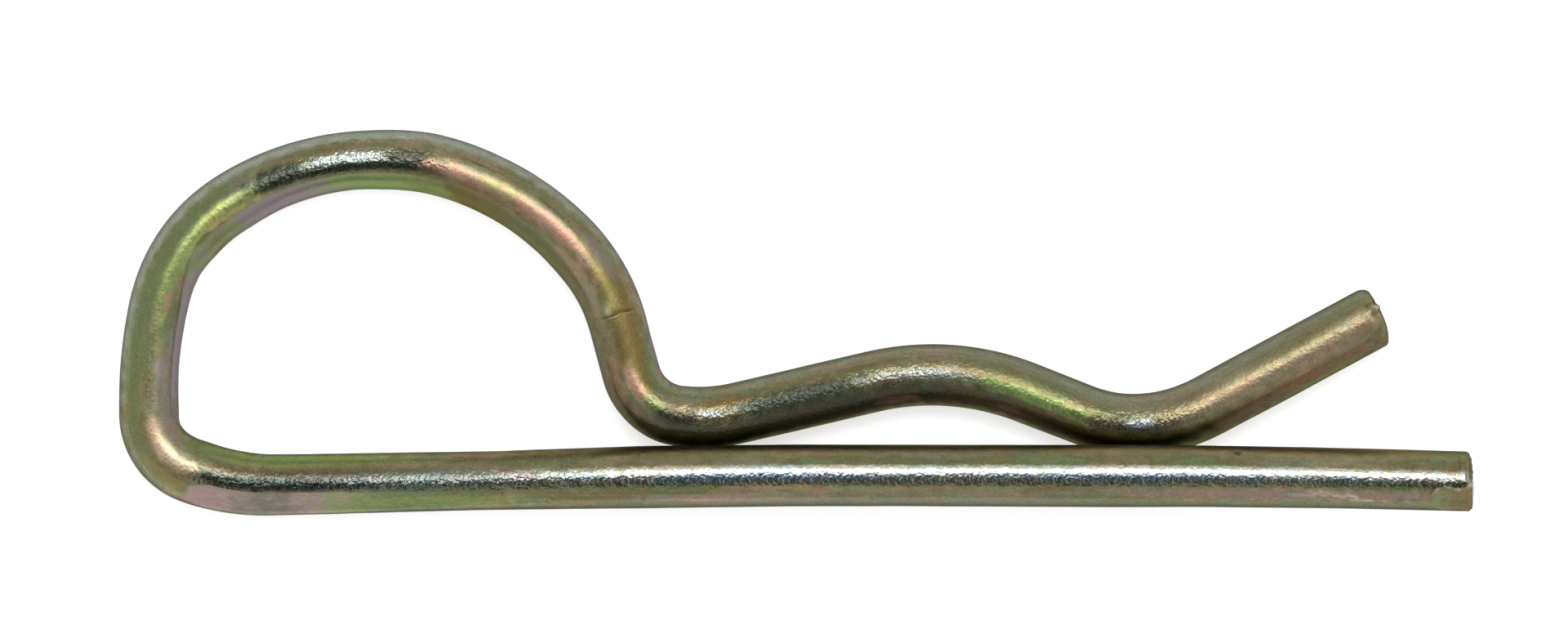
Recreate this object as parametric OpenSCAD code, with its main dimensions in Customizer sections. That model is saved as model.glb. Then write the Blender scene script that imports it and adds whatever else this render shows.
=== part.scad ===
// Hitch pin clip, R-clip pattern: one length of round spring wire, cold bent.
// Millimetres.  The clip lies on its side: the finger loop and the sprung arm
// rest on z = 0, and the straight leg rises a little towards its free end, so
// that the leg lies against the arm slightly on top of it.  +X runs along the
// leg to its free end and +Y from the leg to the loop's crown.  The origin is
// at the middle of the overall footprint, on the surface that the clip lies on.

/* [Wire] */
// Diameter of the round wire
wire_d = 4; // [3:0.25:4]
// Angle between the leg's plane and the plane of the loop and arm
leg_twist = 2; // [2:0.1:4]

/* [Leg: the straight side that goes through the pin's cross hole] */
// Straight from the middle of the loop's back down to the heel
leg_back = 0.5; // [0.5:0.1:2]
// Tight radius of the heel
heel_r1 = 4; // [4:0.1:4.8]
// Angle of the heel's tight radius
heel_a1 = 71; // [68:0.5:71]
// Open radius of the heel
heel_r2 = 15; // [15:0.5:18]
// Angle of the heel's open radius
heel_a2 = 20; // [18:0.5:20]
// Straight from the heel to the leg's first slight bow
leg_l1 = 30; // [26:0.5:32]
// Angle of the first slight bow
leg_bow1 = 1.1; // [1.1:0.1:2]
// Straight that runs under the arm, between the two bows
leg_l2 = 22.5; // [20:0.5:25]
// Angle of the second slight bow
leg_bow2 = 0.8; // [0.7:0.1:2]
// Radius of both slight bows
leg_bow_r = 250; // [150:10:400]
// Straight at the leg's free end
leg_l3 = 17; // [14:0.5:24]

/* [Finger loop] */
// Straight from the middle of the loop's back up to its bowed part
loop_back = 0.5; // [0.5:0.1:2]
// Radius of the slight bow of the loop's back
loop_r1 = 30; // [30:1:36]
// Angle of the slight bow of the loop's back
loop_a1 = 9.5; // [8.5:0.5:9.5]
// Radius of the loop's upper back corner
loop_r2 = 10.5; // [10.5:0.1:11]
// Angle of the loop's upper back corner
loop_a2 = 49; // [48:0.5:49]
// Radius of the loop's crown
loop_r3 = 17.5; // [17:0.1:18]
// Angle of the loop's crown
loop_a3 = 72; // [71:0.5:72]
// Radius of the loop's shoulder
loop_r4 = 12.5; // [12:0.1:12.5]
// Angle of the loop's shoulder
loop_a4 = 35; // [34:0.5:35]
// Straight from the shoulder down to the reverse bend
loop_l = 3.1; // [2:0.1:3.1]

/* [Sprung arm] */
// Tight radius of the reverse bend, where the arm first meets the leg
turn_r1 = 3.75; // [3.25:0.05:3.75]
// Angle of the reverse bend's tight radius
turn_a1 = 69.5; // [69.5:0.25:71]
// Open radius of the reverse bend
turn_r2 = 10; // [8:0.5:11]
// Angle of the reverse bend's open radius
turn_a2 = 19; // [19:0.25:21]
// Straight that climbs to the hump
arm_l1 = 9; // [9:0.1:11]
// Radius of the hump that seats on the pin
hump_r = 17; // [14:0.5:17]
// Angle of the hump
hump_a = 34; // [31:0.5:34]
// Straight that falls from the hump
arm_l2 = 3.9; // [2.5:0.1:3.9]
// Radius of the nip, where the arm meets the leg again
nip_r = 10; // [9:0.1:10]
// Angle of the nip
nip_a = 49; // [47:0.5:58]
// Flared tip, from the nip to the top of its domed end
tip_l = 12.9; // [6:0.1:18]

/* [Ends] */
// Radius of the tip's domed end
tip_dome_r = 3.4; // [2.4:0.1:8]
// Chamfer round the leg's cut end
end_chamfer = 0.25; // [0.1:0.05:0.5]
// Step across the leg's cut end, where the wire broke out of the shear
shear_step = 0.2; // [0.1:0.05:0.5]
// Length of the flat that the shear blade pressed beside the cut end
shear_flat_l = 2.7; // [1.5:0.1:4]
// Depth of that flat below the round of the wire
shear_flat_d = 0.26; // [0.1:0.02:0.4]

/* [Hidden] */
$fn = 64;
wire_r = wire_d / 2;
zinc = [0.56, 0.54, 0.37];
// Short straight between two bends of different radius
between = 0.4;
// The wire draws down by this much at a bend
draw = 0.005;
// A bend reaches this far into the straights at its two ends
lap = 0.05;
// A cut reaches this far past the face that it opens
past = 1;

// The run of the wire as [straight length, bend radius, bend angle] steps, as a
// bending bench takes them.  A positive angle turns left.  Both runs start at
// the middle of the loop's back.
loop_and_arm = [
    [loop_back, loop_r1, -loop_a1],
    [between, loop_r2, -loop_a2],
    [between, loop_r3, -loop_a3],
    [between, loop_r4, -loop_a4],
    [loop_l, turn_r1, turn_a1],
    [between, turn_r2, turn_a2],
    [arm_l1, hump_r, -hump_a],
    [arm_l2, nip_r, nip_a]
];
heel_and_leg = [
    [leg_back, heel_r1, heel_a1],
    [between, heel_r2, heel_a2],
    [leg_l1, leg_bow_r, -leg_bow1],
    [leg_l2, leg_bow_r, -leg_bow2]
];

// Points of a run's centreline in its own plane, from p on the heading h
function ahead(p, h, d) = p + d * [cos(h), sin(h)];
function hub(p, h, s) = p + s[1] * sign(s[2]) * [-sin(h), cos(h)];
function on_arc(c, h, s, t) =
    c - s[1] * sign(s[2]) * [-sin(h + t * s[2]), cos(h + t * s[2])];
function trace(steps, p, h, last, i = 0) =
    i == len(steps) ? [p, ahead(p, h, last)] :
    let (q = ahead(p, h, steps[i][0]), c = hub(q, h, steps[i]))
    concat([p], [for (k = [0 : 24]) on_arc(c, h, steps[i], k / 24)],
           trace(steps, on_arc(c, h, steps[i], 1), h + steps[i][2], last, i + 1));

loop_line = trace(loop_and_arm, [0, 0], 90, tip_l);
leg_line = trace(heel_and_leg, [0, 0], -90, leg_l3);
// The footprint's middle, measured from the middle of the loop's back
x_lo = min([for (p = loop_line) p[0]]) - wire_r;
x_hi = max([for (p = leg_line) p[0]]) * cos(leg_twist)
    + (wire_r - end_chamfer) * sin(leg_twist);
y_lo = min([for (p = leg_line) p[1]]) - wire_r;
y_hi = max([for (p = loop_line) p[1]]) + wire_r;
middle = [(x_lo + x_hi) / 2, (y_lo + y_hi) / 2];

// A straight of wire up +Z; what follows starts at its far end
module straight(l) {
    cylinder(r = wire_r, h = l);
    translate([0, 0, l]) children();
}

// A bend of wire that starts up +Z and turns towards +X, or towards -X where
// its angle is negative; what follows starts at its far end
module bend(r, a) {
    s = sign(a);
    e = lap / r * 180 / PI;
    translate([s * r, 0, 0]) {
        rotate([90, 0, 0])
            rotate_extrude(angle = abs(a) + 2 * e, start = (s > 0 ? 180 - a : 0) - e)
                translate([r, 0]) circle(r = wire_r - draw);
        rotate([0, a, 0]) translate([-s * r, 0, 0]) children();
    }
}

// The steps of a run, one on the end of another, and then the run's end piece
module run(steps, i = 0) {
    if (i == len(steps)) children();
    else straight(steps[i][0]) bend(steps[i][1], -steps[i][2])
        run(steps, i + 1) children();
}

// The flared tip: a straight that ends in a dome
module tip() {
    intersection() {
        cylinder(r = wire_r, h = tip_l);
        union() {
            cylinder(r = tip_dome_r, h = tip_l - tip_dome_r);
            translate([0, 0, tip_l - tip_dome_r]) sphere(r = tip_dome_r);
        }
    }
}

// A straight with a chamfer round its far end
module chamfered(l) {
    cylinder(r = wire_r, h = l - end_chamfer);
    translate([0, 0, l - end_chamfer])
        cylinder(r1 = wire_r, r2 = wire_r - end_chamfer, h = end_chamfer);
}

// The leg's free end: cut off by a shear, so one half of the face stands a
// little proud of the other, with a shallow flat where the blade pressed
module leg_end() {
    difference() {
        union() {
            chamfered(leg_l3 - shear_step);
            intersection() {
                chamfered(leg_l3);
                translate([0, -wire_d, 0]) cube([wire_d, 2 * wire_d, leg_l3 + past]);
            }
        }
        rotate([0, 0, -50])
            translate([wire_r - shear_flat_d, -wire_d, leg_l3 - shear_flat_l])
                cube([wire_d, 2 * wire_d, shear_flat_l + past]);
    }
}

// The finger loop, the reverse bend, the hump, the nip and the flared tip
module loop_and_arm_half() {
    rotate([-90, 0, 0]) run(loop_and_arm) tip();
}

// The heel and the straight leg
module leg_half() {
    rotate([0, -leg_twist, 0]) rotate([-90, 0, 180]) run(heel_and_leg) leg_end();
}

module r_clip_wire() {
    color(zinc) translate([-middle[0], -middle[1], wire_r]) {
        loop_and_arm_half();
        leg_half();
    }
}

r_clip_wire();
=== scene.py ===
import math

import bpy
import numpy as np
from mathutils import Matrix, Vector


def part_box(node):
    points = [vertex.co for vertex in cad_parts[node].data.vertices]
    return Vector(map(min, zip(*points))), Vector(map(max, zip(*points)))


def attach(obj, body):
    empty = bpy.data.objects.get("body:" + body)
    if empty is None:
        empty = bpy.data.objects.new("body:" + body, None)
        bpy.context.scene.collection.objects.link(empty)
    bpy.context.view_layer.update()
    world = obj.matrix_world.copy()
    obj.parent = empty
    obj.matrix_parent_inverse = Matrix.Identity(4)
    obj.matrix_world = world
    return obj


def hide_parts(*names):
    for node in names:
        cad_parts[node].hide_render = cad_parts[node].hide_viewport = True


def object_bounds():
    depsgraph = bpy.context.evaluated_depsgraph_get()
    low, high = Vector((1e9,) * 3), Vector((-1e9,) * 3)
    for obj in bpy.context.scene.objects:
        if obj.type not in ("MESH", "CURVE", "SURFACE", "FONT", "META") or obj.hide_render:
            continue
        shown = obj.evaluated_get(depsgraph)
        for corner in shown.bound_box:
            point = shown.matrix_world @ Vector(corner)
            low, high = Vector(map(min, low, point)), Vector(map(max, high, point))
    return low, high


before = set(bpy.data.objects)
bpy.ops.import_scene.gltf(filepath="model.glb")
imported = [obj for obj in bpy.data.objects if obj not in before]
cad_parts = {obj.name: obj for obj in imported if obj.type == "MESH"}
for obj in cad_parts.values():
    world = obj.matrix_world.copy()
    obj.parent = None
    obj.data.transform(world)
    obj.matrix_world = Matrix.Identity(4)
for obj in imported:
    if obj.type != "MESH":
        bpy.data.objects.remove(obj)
cad_box = [[float(v) for v in corner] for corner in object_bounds()]
scene = bpy.context.scene
rng = np.random.default_rng(7)

# ---------------------------------------------------------------- the wire's run
# Millimetres, the same steps as the CAD part: (straight, bend radius, bend angle),
# a positive angle turns left.  Both runs start at the middle of the loop's back.
WIRE_R = 2.0
LOOP_AND_ARM = [
    (0.5, 30.0, -9.5), (0.4, 10.5, -49.0), (0.4, 17.5, -72.0), (0.4, 12.5, -35.0),
    (3.1, 3.75, 69.5), (0.4, 10.0, 19.0), (9.0, 17.0, -34.0), (3.9, 10.0, 49.0),
]
HEEL_AND_LEG = [(0.5, 4.0, 71.0), (0.4, 15.0, 20.0), (30.0, 250.0, -1.1), (22.5, 250.0, -0.8)]
TIP_L = 12.9
LEG_L3 = 17.0
TWIST = math.radians(2.0)
STEP = 0.121


def run(steps, heading, last):
    """Rows of [arc length, x, y, heading] along a run, STEP apart."""
    rows, at, h, s = [], np.zeros(2), math.radians(heading), 0.0

    def straight(length):
        nonlocal at, s
        n = max(1, round(length / STEP))
        for k in range(n):
            p = at + length * k / n * np.array([math.cos(h), math.sin(h)])
            rows.append((s + length * k / n, p[0], p[1], h))
        at = at + length * np.array([math.cos(h), math.sin(h)])
        s += length

    for length, bend, degrees in steps:
        straight(length)
        turn = math.radians(degrees)
        side = math.copysign(1.0, turn)
        hub = at + bend * side * np.array([-math.sin(h), math.cos(h)])
        n = max(2, round(abs(turn) * bend / STEP))
        for k in range(n):
            g = h + turn * k / n
            p = hub - bend * side * np.array([-math.sin(g), math.cos(g)])
            rows.append((s + abs(turn) * bend * k / n, p[0], p[1], g))
        h += turn
        at = hub - bend * side * np.array([-math.sin(h), math.cos(h)])
        s += abs(turn) * bend
    straight(last)
    rows.append((s, at[0], at[1], h))
    return np.array(rows)


loop_rows = run(LOOP_AND_ARM, 90.0, TIP_L)
leg_rows = run(HEEL_AND_LEG, -90.0, LEG_L3)
LEG_LENGTH = float(leg_rows[-1, 0])
LENGTH = LEG_LENGTH + float(loop_rows[-1, 0])

# One run from the leg's cut end, round the loop, to the arm's tip.  "inner" is the
# wire's right hand side on that way, the side that faces the middle of the clip.
centre, ahead, inner, above, along = [], [], [], [], []
for s, x, y, h in leg_rows[::-1]:
    t = (-math.cos(h), -math.sin(h))
    centre.append((x * math.cos(TWIST), y, WIRE_R + x * math.sin(TWIST)))
    ahead.append((t[0] * math.cos(TWIST), t[1], t[0] * math.sin(TWIST)))
    inner.append((t[1] * math.cos(TWIST), -t[0], t[1] * math.sin(TWIST)))
    above.append((-math.sin(TWIST), 0.0, math.cos(TWIST)))
    along.append(LEG_LENGTH - s)
for s, x, y, h in loop_rows[1:]:
    t = (math.cos(h), math.sin(h))
    centre.append((x, y, WIRE_R))
    ahead.append((t[0], t[1], 0.0))
    inner.append((t[1], -t[0], 0.0))
    above.append((0.0, 0.0, 1.0))
    along.append(LEG_LENGTH + s)
centre, ahead, inner, above, along = map(np.array, (centre, ahead, inner, above, along))

# The CAD node's own box says where the run's own zero lies.
low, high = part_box("r_clip_wire")
centre = centre + np.array([
    low[0] * 1000 + WIRE_R - centre[:, 0].min(),
    low[1] * 1000 + WIRE_R - centre[:, 1].min(),
    low[2] * 1000,
])

# Closer rings at the two ends and at the tool mark
CREASE = 133.42
more = np.concatenate([
    np.arange(0.0, 0.5, 0.045), np.arange(0.5, 3.4, 0.06),
    np.arange(CREASE - 0.45, CREASE + 0.45, 0.035),
    LENGTH - np.arange(0.0, 0.6, 0.05),
])
rings_at = np.unique(np.round(np.concatenate([along, more]), 3))
rings_at = rings_at[(rings_at >= 0) & (rings_at <= along[-1])]
keep = np.concatenate([[True], np.diff(rings_at) > 0.028])
rings_at = rings_at[keep]
rings_at[-1] = along[-1]


def at_rings(rows, unit=False):
    out = np.stack([np.interp(rings_at, along, rows[:, i]) for i in range(3)], axis=1)
    return out / np.linalg.norm(out, axis=1)[:, None] if unit else out


centre, ahead = at_rings(centre), at_rings(ahead, True)
inner, above = at_rings(inner, True), at_rings(above, True)
along = rings_at


# ---------------------------------------------------------------- the wire's section
def smooth(x, lo, hi):
    t = np.clip((x - lo) / (hi - lo), 0, 1)
    return t * t * (3 - 2 * t)


def table(s, *stops):
    """Straight lines between (arc length, value) stops."""
    return np.interp(s, [p[0] for p in stops], [p[1] for p in stops])


# Flats that the bending tools pressed.  The die's flat faces one way; the mandrel's two
# faces run from a lower edge to an upper edge, 120 degrees, and are slightly crowned.
DIE_FACING = -44.0
die_depth = table(along, (44, 0), (58, 0.05), (66, 0.13), (72, 0.22), (76, 0.245), (78.5, 0.26), (80.6, 0.235),
                  (81.8, 0.26), (82.5, 0.19), (83.2, 0.08), (83.6, 0))
FACE_TOP = 120.0
face_edge = table(along, (84.6, 62), (86, 55), (87, 47), (88.5, 44.5), (95.5, 44), (96.5, 38.5), (97.8, 30), (99, 22.5),
                  (100.25, 16), (100.75, 16), (101.6, 21.5), (110, 22.5), (117, 23), (120, 26.5), (124, 29),
                  (127, 31.5), (130, 36.5), (133, 40.5), (136, 44), (139, 40), (142, 52))
face_depth = table(along, (84.6, 0), (87, 0.16), (88.2, 0.11), (91.5, 0.17), (95.5, 0.10), (98.5, 0.26), (100.5, 0.09),
                   (104, 0.08), (107, 0.18), (112, 0.22), (114, 0.16), (117, 0.23), (121, 0.12), (124, 0.06), (129, 0.04),
                   (131, 0.10), (139, 0.10), (141, 0))
# The ragged rim of the flat that the shear pressed beside the leg's cut end
rim = table(along, (0.0, -8), (0.35, -10), (0.8, -17), (1.3, -14), (1.75, -9), (2.1, -14), (2.45, -24), (2.75, -36), (2.95, -44))
shear_depth = WIRE_R * (1 - np.cos(np.radians(rim - DIE_FACING))) * (along < 2.95)
# How the wire's two sides stray from a true round: millimetres past the radius
outer_side = table(along, (0, -0.07), (8, -0.13), (24, -0.04), (36, -0.08), (48, -0.05), (65, -0.15), (78, -0.03), (83, 0.11),
                   (88, 0), (96, -0.07), (104, 0.05), (113, -0.02), (117, 0.12), (121, 0), (135, -0.13), (144, 0.06),
                   (162, 0.10), (171, 0.03), (176, 0.14), (189, 0.17))
inner_side = table(along, (0, -0.02), (10, 0.09), (30, 0.10), (46, 0.09), (54, 0.14), (64, -0.02), (76, 0), (83, 0.13), (87, 0), (124, 0),
                   (128, 0.08), (132, 0), (142, -0.07), (158, -0.09), (168, -0.11), (182, -0.06), (189, -0.11))


def eased(values, reach):
    """Running mean over the rings, reach millimetres either way."""
    even = np.arange(0, LENGTH, 0.05)
    k = np.ones(2 * int(reach / 0.05) + 1)
    k /= k.size
    pad = k.size // 2
    v = np.convolve(np.pad(np.interp(even, along, values), pad, mode="edge"), k, "valid")
    return np.interp(along, even, v)


half_die = np.degrees(np.arccos(1 - die_depth / WIRE_R))
outer_edge = eased(np.where(die_depth > 0.02, DIE_FACING + half_die, -18.0), 0.1)
outer_edge = np.where(along < 2.95, rim, np.interp(along, [2.95, 4.5], [-44.0, -18.0]) * (along < 4.5) + outer_edge * (along >= 4.5))
inner_edge = np.minimum(face_edge, 60.0)

# Angles round the wire: 0 on top, +90 on the inner side, -90 on the outer side.  The
# upper half has the closer columns, and a pair of them follows the edge of each flat.
COLUMNS, UPPER, PAIR_A, PAIR_B = 56, 40, 17, 28
column = np.arange(COLUMNS)
deg = np.stack([
    np.where(column <= UPPER,
             np.interp(column, [0, PAIR_A, PAIR_A + 1, PAIR_B, PAIR_B + 1, UPPER], [-100, e0 - 0.9, e0 + 0.9, e1 - 0.9, e1 + 0.9, 100]),
             100 + (column - UPPER) * 160 / (COLUMNS - UPPER))
    for e0, e1 in zip(outer_edge, inner_edge)
])
TH = np.radians(deg)
S = np.repeat(along[:, None], COLUMNS, axis=1)


def waves(s, th, pitch, turns, seed, count=9, both=False):
    """A soft random swell over the wire, about -1 to 1: pitch mm long, up to turns lobes round."""
    r = np.random.default_rng(seed)
    total = np.zeros(np.broadcast(s, th).shape)
    for _ in range(count):
        k = 2 * math.pi / (pitch * r.uniform(0.7, 1.8))
        total += np.cos(k * s + r.integers(-turns if both else 0, turns + 1) * th + r.uniform(0, 6.283))
    return total / math.sqrt(count)


radius = np.full(S.shape, WIRE_R)
# The two sides, as bent
on_inner, on_outer = np.clip(np.sin(TH), 0, 1), np.clip(-np.sin(TH), 0, 1)
radius += eased(inner_side, 0.3)[:, None] * on_inner + eased(outer_side, 0.3)[:, None] * on_outer
# Slight waviness of drawn and bent wire
radius += 0.005 * waves(S, TH, 9.0, 2, 11) + 0.0012 * waves(S, TH, 3.0, 4, 12, 14)
# Handling dents, shallow and soft
for _ in range(70):
    s0, t0 = rng.uniform(2, LENGTH - 2), rng.uniform(-math.pi, math.pi)
    size, deep = rng.uniform(0.25, 0.8), rng.uniform(0.004, 0.014)
    turn = (TH - t0 + math.pi) % (2 * math.pi) - math.pi
    radius -= deep * np.exp(-((S - s0) / (size * rng.uniform(1, 2.5))) ** 2 - (turn * WIRE_R / size) ** 2)


# The flats.  A flat cuts whatever stands higher than itself.
c = np.cos(TH - math.radians(DIE_FACING))
pressed_to = WIRE_R - np.maximum(die_depth, shear_depth)[:, None] + (outer_side * (along > 60))[:, None] * 0.5
limit = np.where(c > 0.2, pressed_to / np.maximum(c, 0.2), 99)
radius = np.minimum(radius, limit)
face_half = (FACE_TOP - face_edge) / 2
x = (deg - (FACE_TOP - face_half)[:, None]) / face_half[:, None]
radius -= face_depth[:, None] * np.clip(1 - x * x, 0, 1)

# Painted with the shape: bare bright metal on the burr and scratches, painted highlights on the tool mark's ridge and a
# dimple, painted shade in hollows and along edges, and the flats' own film, which stops at their edges
bright = np.zeros(S.shape)
dark_marks_and_painted_shade = np.zeros(S.shape)
die_flat = smooth(half_die[:, None] - np.abs(deg - DIE_FACING), -0.9, 0.9) * smooth(S, 46, 54) * (1 - smooth(S, 83.0, 83.4))
die_film = die_flat * smooth(S, 68, 75)
face_film = smooth(deg - face_edge[:, None], -0.9, 0.9) * (1 - smooth(deg, FACE_TOP - 8, FACE_TOP))
face_film *= table(along, (86, 0), (88, 1), (100.2, 1), (100.8, 0.3), (102, 0.6), (104, 1), (120, 1), (127, 0.7), (134, 0.3), (138, 0))[:, None]

# The tool mark across the wire: a hair-thin ridge with a shallow step behind it
across_mark = smooth(deg, -46, -30) * (1 - smooth(deg, 24, 32))
wobble = 0.05 * np.sin(TH * 5) + 0.03 * np.sin(TH * 13 + 1)
d = S - (CREASE - deg * 0.0015 + wobble)
broken = 0.55 + 0.45 * np.sin(TH * 11 + 0.6)
radius += across_mark * (0.034 * broken * np.exp(-(d / 0.06) ** 2) - 0.045 * np.exp(-((d + 0.16) / 0.09) ** 2))
# Painted highlight along the ridge, and painted shade in the step behind it
bright += across_mark * broken * np.exp(-(d / 0.06) ** 2) * 0.3
dark_marks_and_painted_shade += across_mark * np.exp(-((d + 0.13) / 0.07) ** 2) * 0.9
# A soft dimple just before it, with a painted highlight on it
radius += 0.040 * np.exp(-((S - (CREASE - 0.70)) / 0.42) ** 2 - ((deg - 12) / 12.0) ** 2)
bright += 0.5 * np.exp(-((S - (CREASE - 0.62)) / 0.33) ** 2 - ((deg - 11) / 6.5) ** 2)

# A pit near the leg's inner edge, darkened with painted shade, and a few scratches near its free end
radius -= 0.09 * np.exp(-((S - 15.25) / 0.20) ** 2 - ((deg - 54) / 6.5) ** 2)
dark_marks_and_painted_shade += 1.2 * np.exp(-((S - 15.25) / 0.20) ** 2 - ((deg - 54) / 6.5) ** 2)
for s0, t0, s1, t1, deep in (
    (10.6, -24, 9.4, -35, 0.014), (9.9, -23, 8.3, -38, 0.016), (9.0, -31, 7.4, -33, 0.012),
    (11.9, -31, 10.2, -32, 0.010), (8.1, -27, 7.4, -40, 0.012), (7.9, -41, 6.4, -43, 0.010),
):
    run_s, run_t = s1 - s0, math.radians(t1 - t0) * WIRE_R
    ps, pt = S - s0, (TH - math.radians(t0)) * WIRE_R
    k = np.clip((ps * run_s + pt * run_t) / (run_s ** 2 + run_t ** 2), 0, 1)
    off = np.hypot(ps - k * run_s, pt - k * run_t)
    radius -= deep * np.exp(-(off / 0.10) ** 2)
    bright += 0.55 * np.exp(-(off / 0.075) ** 2)
# Dark line painted along the edge of the mandrel's faces
line = deg - face_edge[:, None] + 1.6
dark_marks_and_painted_shade += table(along, (86, 0), (88, 0.35), (95, 0.45), (97, 0.6), (98.5, 0.45), (99.6, 0.25), (100.2, 0.55), (101.2, 0.75), (102, 0.5), (103.5, 0.15), (106, 0))[:, None] * np.exp(-(line / 1.8) ** 2)
# Painted shade: a dark brown line under the painted highlight of the crown's far side
dark_marks_and_painted_shade += table(along, (118.6, 0), (120, 0.7), (124.5, 0.7), (127, 0.45), (129.5, 0))[:, None] * np.exp(-((deg + table(along, (118, 29), (121, 27.5), (124, 25.5), (127, 20.5), (129.5, 11))[:, None]) / 1.5) ** 2)
# Bright burr along the rim of the sheared flat, and painted shade in the hollows beside it
radius += 0.040 * np.exp(-((deg - rim[:, None] - 3.0) / 2.6) ** 2) * (1 - smooth(S, 2.3, 2.7))
bright += 0.75 * np.exp(-((deg - rim[:, None] - 1.5) / 2.2) ** 2) * (1 - smooth(S, 2.2, 2.8)) * (0.6 + 0.4 * np.sin(S * 9))
dark_marks_and_painted_shade += 0.9 * np.exp(-((deg - rim[:, None] - 8.0) / 3.2) ** 2) * (np.exp(-((S - 0.8) / 0.5) ** 2) + np.exp(-((S - 2.45) / 0.35) ** 2))
# A line of painted shade round the upper half, just behind the cut
dark_marks_and_painted_shade += 0.6 * np.exp(-((S - 0.75 - 0.06 * np.sin(TH * 9)) / 0.07) ** 2) * smooth(deg, 0, 8) * (1 - smooth(deg, 40, 62))
pressed = smooth(rim[:, None] - deg, 0, 3) * smooth(deg, -92, -84) * (1 - smooth(S, 2.7, 3.0))

# ---------------------------------------------------------------- the leg's cut end
# The shear pressed a flat beside the cut, then the wire broke.
# Chamfer and rounding at the cut end; softer on the inner side
inner_half = smooth(np.sin(TH), -0.05, 0.25)
corner = 0.22 + 0.10 * inner_half
drop = np.clip(1 - S / corner, 0, 1)
radius -= corner * (1 - np.sqrt(1 - drop ** 2)) * inner_half + corner * drop * (1 - inner_half) * 0.9

mm = 0.001
ca, sb = radius * np.sin(TH), radius * np.cos(TH)
points = centre[:, None, :] + ca[:, :, None] * inner[:, None, :] + sb[:, :, None] * above[:, None, :]
rest = np.stack([S, ca, sb], axis=-1)


def break_step(a, b):
    """How far short of the cut end the wire stops at this place of its section."""
    edge = 0.10 + 0.07 * np.sin(2.1 * b + 0.5) + 0.03 * np.sin(7 * b)
    return 0.20 * smooth(a, edge - 0.16, edge + 0.12) * (0.25 + 0.75 * smooth(np.hypot(a, b), 0.9, 1.75))


short = break_step(ca, sb) * (1 - smooth(S, 0.0, 1.2))
points = points + short[:, :, None] * ahead[:, None, :]

# ---------------------------------------------------------------- faces and the two end caps
rings, cols = S.shape
verts = [points.reshape(-1, 3)]
rests = [rest.reshape(-1, 3)]
marks = [np.stack([bright, dark_marks_and_painted_shade, pressed], axis=-1).clip(0, 1).reshape(-1, 3)]
films = [np.stack([die_film, face_film, die_flat], axis=-1).clip(0, 1).reshape(-1, 3)]
faces = []
for i in range(rings - 1):
    a, b = i * cols, (i + 1) * cols
    for j in range(cols):
        k = (j + 1) % cols
        faces.append((a + j, a + k, b + k, b + j))
count = rings * cols
CAP = 11


def cap(edge_index, ring, shape, flip, profile, marked=None):
    """Closes an end with rings of vertices drawn in to one middle vertex.

    profile gives, for each ring inwards, the part of the section's radius it lies at."""
    global count
    edge = rest[ring]
    previous = [edge_index + j for j in range(cols)]
    for scale in profile:
        a, b = edge[:, 1] * scale, edge[:, 2] * scale
        s = shape(a, b)
        p = centre[ring] + a[:, None] * inner[ring] + b[:, None] * above[ring] + s[:, None] * ahead[ring]
        verts.append(p)
        rests.append(np.stack([along[ring] + s, a, b], axis=1))
        marks.append(np.zeros((cols, 3)) if marked is None else marked(a, b))
        films.append(np.zeros((cols, 3)))
        now = [count + j for j in range(cols)]
        count += cols
        for j in range(cols):
            k = (j + 1) % cols
            quad = (previous[j], previous[k], now[k], now[j])
            faces.append(quad if flip else quad[::-1])
        previous = now
    s = shape(np.zeros(1), np.zeros(1))
    verts.append((centre[ring] + s[0] * ahead[ring])[None])
    rests.append(np.array([[along[ring] + s[0], 0.0, 0.0]]))
    marks.append(np.zeros((1, 3)))
    films.append(np.zeros((1, 3)))
    for j in range(cols):
        k = (j + 1) % cols
        tri = (previous[j], previous[k], count)
        faces.append(tri if flip else tri[::-1])
    count += 1


def leg_face(a, b):
    """The sheared half is nearly smooth, the broken half is rough."""
    torn = smooth(a, 0.0, 0.3)
    rough = 0.035 * np.sin(5.1 * a + 2 * b) * np.sin(4.3 * b - a) + 0.02 * np.sin(11 * a - 7 * b + 1)
    lines = 0.010 * np.sin(16 * a + 1.5 * np.sin(2 * b))
    return break_step(a, b) + torn * rough + (1 - torn) * lines - 0.02


# The tip's corner: how wide and how long its rounding is, by angle round the wire
tip_th = TH[-1]
tip_r = np.hypot(ca[-1], sb[-1])
turn_in, turn_out = np.clip(np.sin(tip_th), 0, 1) ** 1.5, np.clip(-np.sin(tip_th), 0, 1) ** 1.5
turn_up = np.clip(np.cos(tip_th), 0, 1) ** 1.5
share = turn_in + turn_out + turn_up + np.clip(-np.cos(tip_th), 0, 1) ** 1.5
tip_wide = 0.50 + (-0.34 * turn_in + 0.02 * turn_out + 0.25 * turn_up) / share
tip_long = 0.50 + (-0.36 * turn_in + 0.30 * turn_out + 0.32 * turn_up) / share
nick_at = -0.86


def tip_fall(a, b):
    """How far behind the wire's very end this place of the tip lies."""
    th = np.arctan2(a, b)
    wide, long, full = (np.interp(th, tip_th, v, period=2 * math.pi) for v in (tip_wide, tip_long, tip_r))
    t = np.clip((np.hypot(a, b) - (full - wide)) / wide, 0, 1)
    crown = np.interp(a, [-1.9, -0.85, -0.35, 0.2, 0.7, 1.2, 1.6, 1.95], [0.10, 0.01, 0.0, 0.03, 0.10, 0.24, 0.43, 0.66])
    crown = crown + 0.02 * b * b
    nick = 0.17 * np.exp(-((a - nick_at) / 0.10) ** 2) * smooth(b, -1.4, -0.6)
    burr = 0.10 * np.exp(-((a - nick_at - 0.22) / 0.09) ** 2) * smooth(b, -1.2, -0.4)
    return crown + long * (1 - np.sqrt(1 - t * t)) + nick - burr + 0.006 * np.sin(7 * a + 3 * b)


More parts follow.
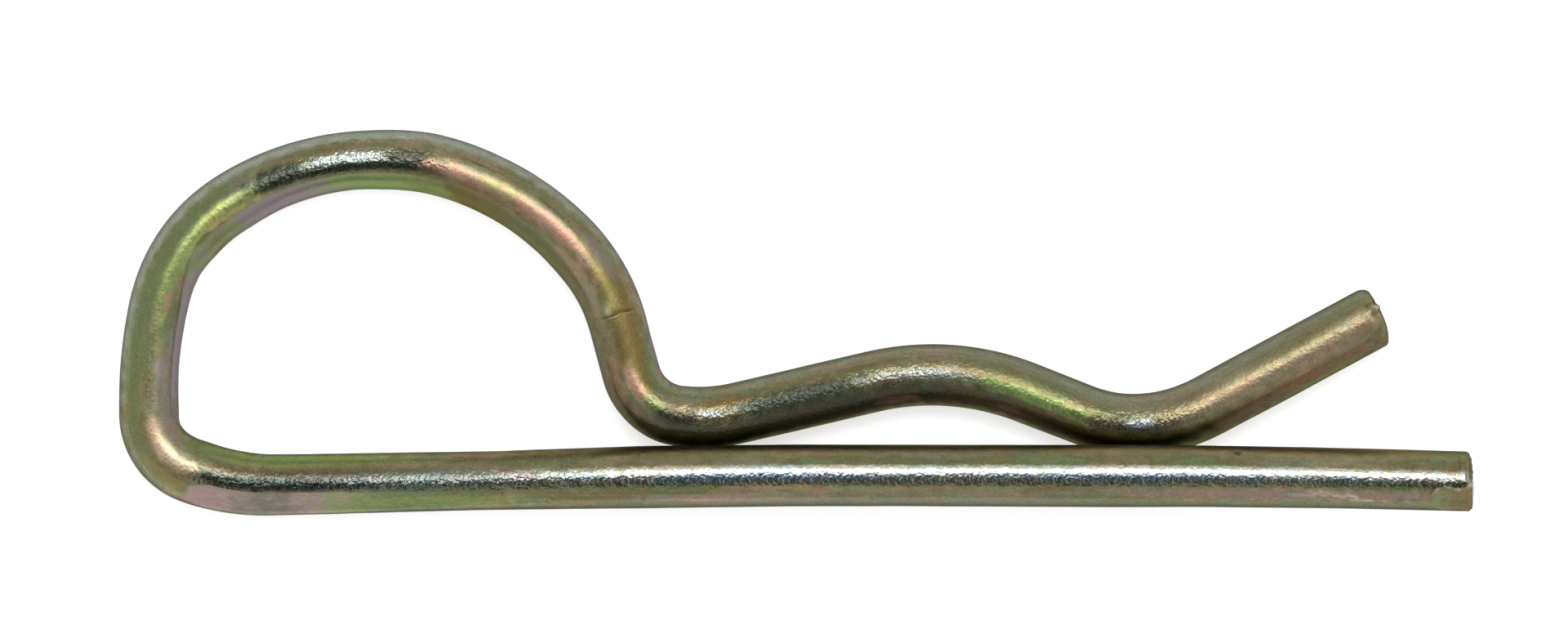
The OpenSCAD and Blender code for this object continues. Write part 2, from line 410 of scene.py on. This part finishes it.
def tip_marks(a, b):
    """A bright chip beside the nick, dark specks round it, and painted shade along the rim."""
    chip = np.exp(-((a - nick_at - 0.20) / 0.15) ** 2) * smooth(b, 0.85, 1.15) * (1 - smooth(b, 1.60, 1.80))
    specks = np.exp(-((a - nick_at + 0.12) / 0.10) ** 2) + np.exp(-((a - nick_at - 0.48) / 0.10) ** 2)
    rim_line = np.exp(-((np.hypot(a, b) - 1.25) / 0.13) ** 2) * smooth(a, -0.5, -0.3) * (1 - smooth(a, 0.9, 1.3))
    dark = (0.7 * specks * smooth(b, 0.9, 1.2) + 0.6 * rim_line * smooth(b, 0.2, 0.7)) * (1 - chip)
    return np.stack([0.9 * chip, dark, np.zeros(len(a))], axis=-1).clip(0, 1)


# The rings before the tip are drawn back to where its rounding starts
BEHIND = 0.08
edge_fall = tip_fall(ca[-1], sb[-1]) + BEHIND
pull = np.clip((along - (LENGTH - 2.6)) / 2.6, 0, 1) ** 1.5
pull_back = -pull[:, None] * edge_fall[None, :]
points = points + pull_back[:, :, None] * ahead[:, None, :]
rest[:, :, 0] += pull_back
verts[0] = points.reshape(-1, 3)
rests[0] = rest.reshape(-1, 3)

cap(0, 0, leg_face, False, [1 - r / 11 for r in range(1, 11)])
end_ring = rings - 1
part = tip_wide / tip_r
tip_rings = [1 - part * (1 - math.sin(math.radians(g))) for g in (78, 67, 56, 45, 34, 23, 12, 0)]
tip_rings += [(1 - part) * k for k in (0.88, 0.74, 0.60, 0.46, 0.32, 0.16)]
cap(end_ring * cols, end_ring, lambda a, b: -tip_fall(a, b) - BEHIND, True, tip_rings, tip_marks)

verts = np.concatenate(verts)
rests = np.concatenate(rests)
verts[:, 2] = np.maximum(verts[:, 2], low[2] * 1000)
mesh = bpy.data.meshes.new("clip_wire")
mesh.from_pydata([tuple(p * mm) for p in verts], [], faces)
mesh.validate()
attribute = mesh.attributes.new("wire_mm", "FLOAT_VECTOR", "POINT")
attribute.data.foreach_set("vector", rests.astype(np.float32).ravel())
attribute = mesh.attributes.new("wire_marks", "FLOAT_VECTOR", "POINT")
attribute.data.foreach_set("vector", np.concatenate(marks).astype(np.float32).ravel())
attribute = mesh.attributes.new("wire_films", "FLOAT_VECTOR", "POINT")
attribute.data.foreach_set("vector", np.concatenate(films).astype(np.float32).ravel())
mesh.shade_smooth()
wire = bpy.data.objects.new("clip_wire", mesh)
scene.collection.objects.link(wire)


# ---------------------------------------------------------------- finish
# Yellow passivated zinc.  Noise drives the film's thickness through its own run of
# colours; a few soft fields tint whole stretches and paint highlights, dark reflections and shade over them, and small
# spots mark rubbed places and paint a few glints.
PALETTE = {
    "brown": (108, 88, 60), "bronze": (112, 100, 58), "umber": (82, 72, 50), "gold": (148, 130, 84), "amber": (120, 94, 48), "dun": (132, 124, 100),
    "khaki": (118, 113, 88), "olive": (106, 103, 74), "moss": (106, 117, 82), "leaf": (124, 140, 88), "green": (124, 142, 92),
    "lime": (150, 158, 100), "grey": (110, 110, 102), "mauve": (136, 126, 130), "pink": (150, 128, 128),
    "rose": (150, 116, 98), "salmon": (168, 132, 118), "cream": (184, 160, 138), "straw": (152, 134, 114),
    "steel": (140, 144, 146), "blue": (124, 137, 160), "slate": (92, 98, 98), "ink": (50, 56, 54), "shade_grey": (64, 62, 54),
}
# The film by thickness, thin to thick
FILM = [(0.26, "gold"), (0.38, "dun"), (0.48, "khaki"), (0.56, "olive"), (0.64, "moss"), (0.72, "grey"), (0.80, "mauve")]
# Soft fields of film colour, painted highlight and painted shade: (arc length, angle, half length, half angle,
# strength, colour)
FIELDS = [
    # leg: grey below, tan above, a painted highlight along the top, a painted blue reflection under it, and painted
    # shade towards the heel
    (40, -80, 60, 30, 0.7, "grey"), (32, 66, 40, 24, 0.5, "brown"), (28, 86, 38, 14, 0.6, "dun"), (12, -32, 14, 15, 0.5, "pink"),
    (36, -50, 14, 17, 0.6, "grey"), (50, -42, 6, 12, 0.4, "pink"), (67, -44, 7, 17, 0.6, "leaf"), (8, -66, 12, 16, 0.6, "grey"),
    (30, 6, 46, 18, 0.95, "steel"), (22, 0, 10, 10, 0.6, "blue"), (46, -1, 9, 10, 0.8, "blue"), (70, 5, 13, 22, 0.9, "slate"), (77, 20, 8, 13, 0.6, "umber"), (77, 10, 8, 9, 0.6, "slate"), (77, 52, 10, 22, 0.7, "leaf"),
    # heel and the loop's back: a painted dark reflection band and a painted highlight at the heel
    (78, -1, 7, 17, 0.9, "ink"), (85.4, 3, 2.9, 17, 0.95, "cream"), (90, 42, 5, 35, 0.5, "mauve"), (95, -36, 12, 34, 0.75, "moss"), (96, 12, 5, 14, 0.4, "moss"),
    # crown: painted highlights over the film, and painted dark reflection streaks beside them
    (110, -74, 27, 34, 0.6, "steel"), (98, 6, 5, 18, 0.7, "leaf"), (102.6, 2, 5.6, 18, 0.9, "lime"), (107, -6, 2.6, 24, 0.9, "ink"),
    (112, -9, 3.6, 13, 0.9, "steel"), (116, -5, 2.3, 22, 0.85, "ink"), (112.5, 9, 6.5, 9, 0.95, "ink"), (119.5, 0, 3.5, 15, 0.85, "salmon"), (122.3, -2, 2.2, 14, 0.5, "lime"),
    (126.5, 0, 5, 17, 0.9, "salmon"), (119, 21, 7, 8, 0.6, "brown"),
    # down to the arm: painted shade where the highlight is dulled, and a painted highlight beyond the tool mark
    (134, -14, 6, 34, 0.8, "bronze"), (135.3, 2, 1.8, 16, 0.6, "umber"), (130, 28, 4, 13, 0.6, "straw"), (135, 74, 7, 18, 0.7, "grey"), (138, -82, 7, 28, 0.7, "mauve"), (138, 30, 3, 12, 0.6, "rose"),
    (138.1, 2, 1.7, 15, 0.85, "salmon"), (140, -1, 1.3, 14, 0.8, "moss"),
    # arm: painted shade on the side that faces the leg and over part of the highlight, with painted highlights along
    # the top
    (160, 38, 22, 34, 0.85, "shade_grey"), (150, 34, 13, 34, 0.9, "shade_grey"), (141.6, 4, 1.7, 26, 0.85, "shade_grey"), (149.8, -8, 5.5, 22, 0.85, "ink"), (159.5, -4, 2.5, 12, 0.6, "slate"), (157, -8, 4, 10, 0.7, "steel"), (165.5, 1, 5, 15, 0.9, "leaf"), (166, 34, 7, 22, 0.6, "umber"),
    (172, 4, 4, 22, 0.85, "shade_grey"), (183, 0, 10, 17, 0.8, "straw"), (168, -62, 30, 28, 0.6, "grey"), (183, 40, 8, 22, 0.5, "rose"),
]
# Spots where the film is thicker, thinner or rubbed, and a few painted glints, written the same way
SPOTS = [
    (84.6, -34, 2.2, 12, 0.45, "gold"), (91.3, 20, 0.8, 17, 0.5, "pink"), (92.6, 14, 0.6, 16, 0.4, "gold"), (95.8, 15, 1.0, 9, 0.75, "rose"), (42.3, -30, 0.6, 9, 0.4, "rose"),
    (144.8, -25, 2.4, 7, 0.7, "amber"), (154.5, -36, 2.6, 6, 0.5, "brown"), (143.8, -7, 1.0, 8, 0.8, "steel"), (172.4, -3, 1.1, 10, 0.8, "steel"), (129.6, -30, 1.9, 16, 0.35, "mauve"), (133, 10, 0.3, 8, 0.7, "lime"),
    (100.7, 15, 0.7, 5, 0.6, "brown"), (117.3, 9, 0.8, 6, 0.5, "brown"), (1.1, 30, 0.5, 14, 0.5, "brown"), (187.3, 24, 1.4, 13, 0.2, "pink"),
    (184, 66, 4, 10, 0.5, "leaf"), (156, 44, 1.8, 10, 0.5, "rose"), (164, 42, 1.6, 9, 0.5, "rose"), (7, 28, 0.8, 9, 0.3, "leaf"),
]


def linear(rgb):
    c = np.array(rgb) / 255
    c = np.where(c <= 0.04045, c / 12.92, ((c + 0.055) / 1.055) ** 2.4)
    return (*c.tolist(), 1.0)


def paint(layers, name, seed, core):
    """Lays the fields over one another on the mesh's points, with ragged rims."""
    tint = np.zeros((len(rests), 4))
    for n, (s0, t0, long, wide, strength, colour_name) in enumerate(layers):
        dt = (angle_at - t0 + 180) % 360 - 180
        reach = np.sqrt(((rests[:, 0] - s0) / long) ** 2 + (dt / wide) ** 2)
        ragged = 0.12 * waves(rests[:, 0], np.radians(angle_at), 1.2, 12, seed + n, 12, True)
        weight = strength * (1 - smooth(reach + ragged, core, 1.15)) * on_skin
        kept = tint[:, 3] * (1 - weight)
        total = np.maximum(kept + weight, 1e-6)
        tint[:, :3] = (tint[:, :3] * kept[:, None] + np.array(linear(PALETTE[colour_name])[:3]) * weight[:, None]) / total[:, None]
        tint[:, 3] = kept + weight
    attribute = mesh.attributes.new(name, "FLOAT_COLOR", "POINT")
    attribute.data.foreach_set("color", tint.astype(np.float32).ravel())


angle_at = np.degrees(np.arctan2(rests[:, 1], rests[:, 2]))
# The cut faces have only the film itself
on_skin = smooth(np.hypot(rests[:, 1], rests[:, 2]), 1.35, 1.8)
paint(FIELDS, "wire_fields", 300, 0.5)
paint(SPOTS, "wire_spots", 100, 0.55)

material = bpy.data.materials.new("zinc_passivated_wire")
material.use_nodes = True
tree = material.node_tree
bsdf = tree.nodes["Principled BSDF"]


def put(value, socket):
    if isinstance(value, bpy.types.NodeSocket):
        tree.links.new(value, socket)
    else:
        socket.default_value = value


def m(op, *args, clamp=False):
    node = tree.nodes.new("ShaderNodeMath")
    node.operation, node.use_clamp = op, clamp
    for socket, value in zip(node.inputs, args):
        put(value, socket)
    return node.outputs[0]


def remap(value, lo, hi, a=0.0, b=1.0, kind="SMOOTHSTEP"):
    node = tree.nodes.new("ShaderNodeMapRange")
    node.interpolation_type = kind
    put(value, node.inputs["Value"])
    for name, number in (("From Min", lo), ("From Max", hi), ("To Min", a), ("To Max", b)):
        node.inputs[name].default_value = number
    return node.outputs[0]


def blend(factor, a, b, how="MIX"):
    node = tree.nodes.new("ShaderNodeMix")
    node.data_type, node.blend_type = "RGBA", how
    put(factor, node.inputs["Factor"])
    put(a, node.inputs["A"])
    put(b, node.inputs["B"])
    return node.outputs["Result"]


def combine(x, y, z):
    node = tree.nodes.new("ShaderNodeCombineXYZ")
    for socket, value in zip(node.inputs, (x, y, z)):
        put(value, socket)
    return node.outputs[0]


def noise(vector, scale, detail=2.0, rough=0.5, lacunarity=2.0):
    node = tree.nodes.new("ShaderNodeTexNoise")
    put(vector, node.inputs["Vector"])
    for name, number in (("Scale", scale), ("Detail", detail), ("Roughness", rough), ("Lacunarity", lacunarity)):
        node.inputs[name].default_value = number
    return node.outputs["Fac"]


def ramp(value, stops, interpolation="LINEAR"):
    node = tree.nodes.new("ShaderNodeValToRGB")
    put(value, node.inputs["Fac"])
    bar = node.color_ramp
    bar.interpolation = interpolation
    for i, (at, colour) in enumerate(stops):
        if i < 2:
            element = bar.elements[i]
            element.position = at
        else:
            element = bar.elements.new(at)
        element.color = colour
    return node.outputs["Color"]


def attribute_vector(name):
    node = tree.nodes.new("ShaderNodeAttribute")
    node.attribute_name = name
    return node.outputs["Vector"]


def split(vector):
    node = tree.nodes.new("ShaderNodeSeparateXYZ")
    put(vector, node.inputs[0])
    return node.outputs


where = attribute_vector("wire_mm")
ws, wa, wb = split(where)
worn_and_glints, painted_shade_and_marks, flattened = split(attribute_vector("wire_marks"))
on_die, on_face, on_flat = split(attribute_vector("wire_films"))
angle = m("DEGREES", m("ARCTAN2", wa, wb))

fs = m("DIVIDE", ws, 190.0, clamp=True)


uneven = m("ADD", fs, m("MULTIPLY", m("SUBTRACT", noise(combine(m("MULTIPLY", ws, 0.7), wa, wb), 0.9, 3.0, 0.6), 0.5), 0.06))
uneven = m("ADD", uneven, m("MULTIPLY", wb, 0.0035))


def stops_to_colour(text):
    return ramp(uneven, [(float(p.split()[0]) / 190, linear(PALETTE[p.split()[1]])) for p in text.split(", ")])


def painted(name):
    node = tree.nodes.new("ShaderNodeAttribute")
    node.attribute_name = name
    return node.outputs


# The film's thickness: long runs along the wire, broken up by smaller patches
thickness = m("ADD", m("MULTIPLY", noise(combine(m("MULTIPLY", ws, 0.22), wa, wb), 0.55, 3.0, 0.55), 0.62),
              m("MULTIPLY", noise(combine(m("MULTIPLY", ws, 0.6), wb, wa), 1.5, 3.0, 0.6), 0.38))
thickness = remap(thickness, 0.32, 0.68, 0.33, 0.70, "LINEAR")
colour = ramp(thickness, [(at, linear(PALETTE[name])) for at, name in FILM])
film_and_light = painted("wire_fields")
colour = blend(film_and_light["Alpha"], colour, film_and_light["Color"])

# Iridescent mottling, streaks along the wire, grain, and small dark specks
patches = noise(combine(m("MULTIPLY", ws, 0.45), wa, wb), 0.9, 4.0, 0.6)
film = ramp(patches, [(0.30, (1.12, 0.97, 0.96, 1)), (0.45, (1.04, 1.00, 0.93, 1)), (0.55, (0.94, 1.02, 0.94, 1)), (0.70, (0.90, 0.99, 1.10, 1))])
colour = blend(1.0, colour, film, "MULTIPLY")
streak = noise(combine(m("MULTIPLY", ws, 0.10), wa, wb), 5.5, 3.0, 0.6)
colour = blend(1.0, colour, ramp(streak, [(0.3, (0.93, 0.92, 0.90, 1)), (0.7, (1.07, 1.07, 1.08, 1))]), "MULTIPLY")
grain = noise(where, 6.5, 2.0, 0.6)
colour = blend(1.0, colour, ramp(grain, [(0.3, (0.84, 0.83, 0.80, 1)), (0.7, (1.16, 1.16, 1.17, 1))]), "MULTIPLY")
speck = noise(combine(m("MULTIPLY", ws, 0.8), wb, wa), 2.6, 2.0, 0.5)
dark = remap(speck, 0.68, 0.74)
colour = blend(m("MULTIPLY", dark, 0.45), colour, linear(PALETTE["umber"]))
die_colour = stops_to_colour("66 moss, 73 leaf, 77 pink, 79.5 grey, 82 pink, 87 pink")
colour = blend(m("MULTIPLY", on_die, 0.88), colour, die_colour)
face_colour = stops_to_colour("86 olive, 90 mauve, 98 mauve, 102 leaf, 105 mauve, 109 mauve, 112.5 green, 117 green, 121 bronze, 127 moss, 132 olive")
colour = blend(m("MULTIPLY", on_face, 0.85), colour, face_colour)
spots = painted("wire_spots")
colour = blend(spots["Alpha"], colour, spots["Color"])
flat_film = ramp(m("DIVIDE", ws, 3.0, clamp=True), [(0.0, linear(PALETTE["brown"])), (0.5, linear(PALETTE["olive"])), (0.9, linear(PALETTE["moss"]))])
colour = blend(m("MULTIPLY", flattened, 0.85), colour, flat_film)
# Dark marks and painted shade from the mesh
colour = blend(m("MULTIPLY", painted_shade_and_marks, 0.8), colour, linear((52, 42, 24)))
# Bare metal on the burr, chip and scratches, and painted highlights on the tool mark's ridge and the dimple
colour = blend(m("MULTIPLY", worn_and_glints, 0.8), colour, linear((196, 192, 160)))
put(colour, bsdf.inputs["Base Color"])

bsdf.inputs["Metallic"].default_value = 1.0
bsdf.inputs["Specular Tint"].default_value = (0.35, 0.35, 0.36, 1)
# Rougher where the film is scuffed, and smoother but duller round the loop
def stops_to_ramp(text):
    return ramp(fs, [(float(p.split()[0]) / 190, (float(p.split()[1]),) * 3 + (1,)) for p in text.split(", ")])


dull = stops_to_ramp("0 0.14, 55 0.13, 76 0.11, 82 0.13, 84 0.30, 90 0.30, 96 0.27, 104 0.27, 107 0.20, 110 0.15, 114 0.14, 117 0.24, 119 0.32, 131 0.33, 133.6 0.40, 136.4 0.40, 138 0.27, 140 0.24, 142 0.20, 146 0.20, 149 0.29, 153 0.29, 155.5 0.22, 161 0.29, 166 0.30, 169 0.22, 173 0.17, 177 0.29, 190 0.31")
scuff = remap(noise(combine(m("MULTIPLY", ws, 0.6), wa, wb), 1.8, 4.0, 0.65), 0.35, 0.68, 0.0, 0.07, "LINEAR")
inner_side = m("MULTIPLY", remap(angle, 28, 50), remap(angle, 165, 120))
handled = m("MULTIPLY", inner_side, stops_to_ramp("0 0.2, 84 0.2, 90 0.06, 134 0.06, 142 0.16, 172 0.2, 178 0.36, 190 0.36"))
put(m("ADD", m("ADD", m("ADD", dull, scuff), handled), m("MULTIPLY", on_face, 0.10)), bsdf.inputs["Roughness"])

# Orange-peel grain of the plating, stronger on the speckled runs of the wire
coarse = stops_to_ramp("0 0.45, 50 0.45, 60 0.7, 68 0.9, 80 0.9, 83 0.5, 85 0.15, 104 0.15, 107 0.5, 109 1.0, 116 1.0, 118 0.3, 120 0.15, 138.6 0.12, 139.6 0.5, 141 0.5, 143 1.0, 160 1.0, 163 0.4, 168 0.4, 170 1.0, 174 0.9, 177 0.3, 190 0.3")
# Smoother down the sides and on the pressed flats
coarse = m("MULTIPLY", coarse, m("MULTIPLY", remap(angle, -45, -15, 0.4, 1.0), remap(angle, 24, -4, 0.4, 1.0)))
coarse = m("MULTIPLY", coarse, m("SUBTRACT", 1.0, m("MULTIPLY", m("ADD", on_face, on_flat, clamp=True), 0.8)))
peel = noise(where, 4.4, 1.5, 0.5)
height = m("ADD", m("MULTIPLY", peel, coarse), m("MULTIPLY", noise(where, 1.7, 1.0, 0.5), 0.15))
bump = tree.nodes.new("ShaderNodeBump")
bump.inputs["Strength"].default_value = 1.0
bump.inputs["Distance"].default_value = 0.000075
put(height, bump.inputs["Height"])
put(bump.outputs[0], bsdf.inputs["Normal"])
mesh.materials.append(material)

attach(wire, "root")
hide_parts("r_clip_wire")

# ---------------------------------------------------------------- floor, light, camera
low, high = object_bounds()
middle = (low + high) / 2
side = 3.0
floor_mesh = bpy.data.meshes.new("floor")
floor_mesh.from_pydata([(-side, -side, 0), (side, -side, 0), (side, side, 0), (-side, side, 0)], [], [(0, 1, 2, 3)])
floor = bpy.data.objects.new("floor", floor_mesh)
scene.collection.objects.link(floor)
paper = bpy.data.materials.new("pale_floor")
paper.use_nodes = True
sheet = paper.node_tree.nodes["Principled BSDF"]
sheet.inputs["Base Color"].default_value = (0.72, 0.72, 0.72, 1)
sheet.inputs["Roughness"].default_value = 1.0
sheet.inputs["Specular IOR Level"].default_value = 0.0
sheet.inputs["Emission Color"].default_value = (1, 1, 1, 1)
sheet.inputs["Emission Strength"].default_value = 0.58
floor_mesh.materials.append(paper)

# A pale studio: even light all round, darker overhead on the side where one stands
world = bpy.data.worlds.new("studio")
scene.world = world
world.use_nodes = True
wt = world.node_tree
wt.nodes.clear()


def wmath(op, *args):
    node = wt.nodes.new("ShaderNodeMath")
    node.operation = op
    for socket, value in zip(node.inputs, args):
        if isinstance(value, (int, float)):
            socket.default_value = value
        else:
            wt.links.new(value, socket)
    return node.outputs[0]


def wsmooth(value, lo, hi):
    node = wt.nodes.new("ShaderNodeMapRange")
    node.interpolation_type = "SMOOTHSTEP"
    wt.links.new(value, node.inputs["Value"])
    node.inputs["From Min"].default_value = lo
    node.inputs["From Max"].default_value = hi
    return node.outputs[0]


coords = wt.nodes.new("ShaderNodeTexCoord")
split = wt.nodes.new("ShaderNodeSeparateXYZ")
wt.links.new(coords.outputs["Generated"], split.inputs[0])
dz = wmath("MAXIMUM", split.outputs[2], 0.05)
u = wmath("DIVIDE", split.outputs[0], dz)
v = wmath("DIVIDE", split.outputs[1], dz)
across = wmath("MULTIPLY", wsmooth(u, -0.26, -0.10), wsmooth(u, 0.26, 0.10))
back = wmath("MULTIPLY", wsmooth(v, -0.85, -0.45), wsmooth(v, 0.12, 0.02))
mix = wt.nodes.new("ShaderNodeMix")
mix.data_type = "RGBA"
mix.inputs["A"].default_value = (1.0, 1.0, 1.0, 1)
mix.inputs["B"].default_value = (0.09, 0.12, 0.125, 1)
wt.links.new(wmath("MULTIPLY", across, back), mix.inputs["Factor"])
background = wt.nodes.new("ShaderNodeBackground")
wt.links.new(mix.outputs["Result"], background.inputs["Color"])
out = wt.nodes.new("ShaderNodeOutputWorld")
wt.links.new(background.outputs[0], out.inputs[0])

# A softbox above the far side, brighter over its middle
for name, wide, deep, y, z, glow in (("softbox_middle", 0.34, 0.13, 0.165, 0.5, 4.6), ("softbox_rim", 0.40, 0.36, 0.215, 0.51, 1.3)):
    lamp = bpy.data.lights.new(name, "AREA")
    lamp.shape = "RECTANGLE"
    lamp.size, lamp.size_y = wide, deep
    lamp.energy = glow * math.pi * wide * deep
    softbox = bpy.data.objects.new(name, lamp)
    softbox.location = middle + Vector((0.05, y, z))
    softbox.visible_camera = False
    scene.collection.objects.link(softbox)

eye = bpy.data.cameras.new("camera")
eye.type = "ORTHO"
eye.ortho_scale = (cad_box[1][0] - cad_box[0][0]) * 1.1573
camera = bpy.data.objects.new("camera", eye)
camera.location = ((cad_box[0][0] + cad_box[1][0]) / 2 - 0.0008, (cad_box[0][1] + cad_box[1][1]) / 2 + 0.0001, 0.4)
scene.collection.objects.link(camera)
scene.camera = camera
scene.view_settings.view_transform = "Standard"
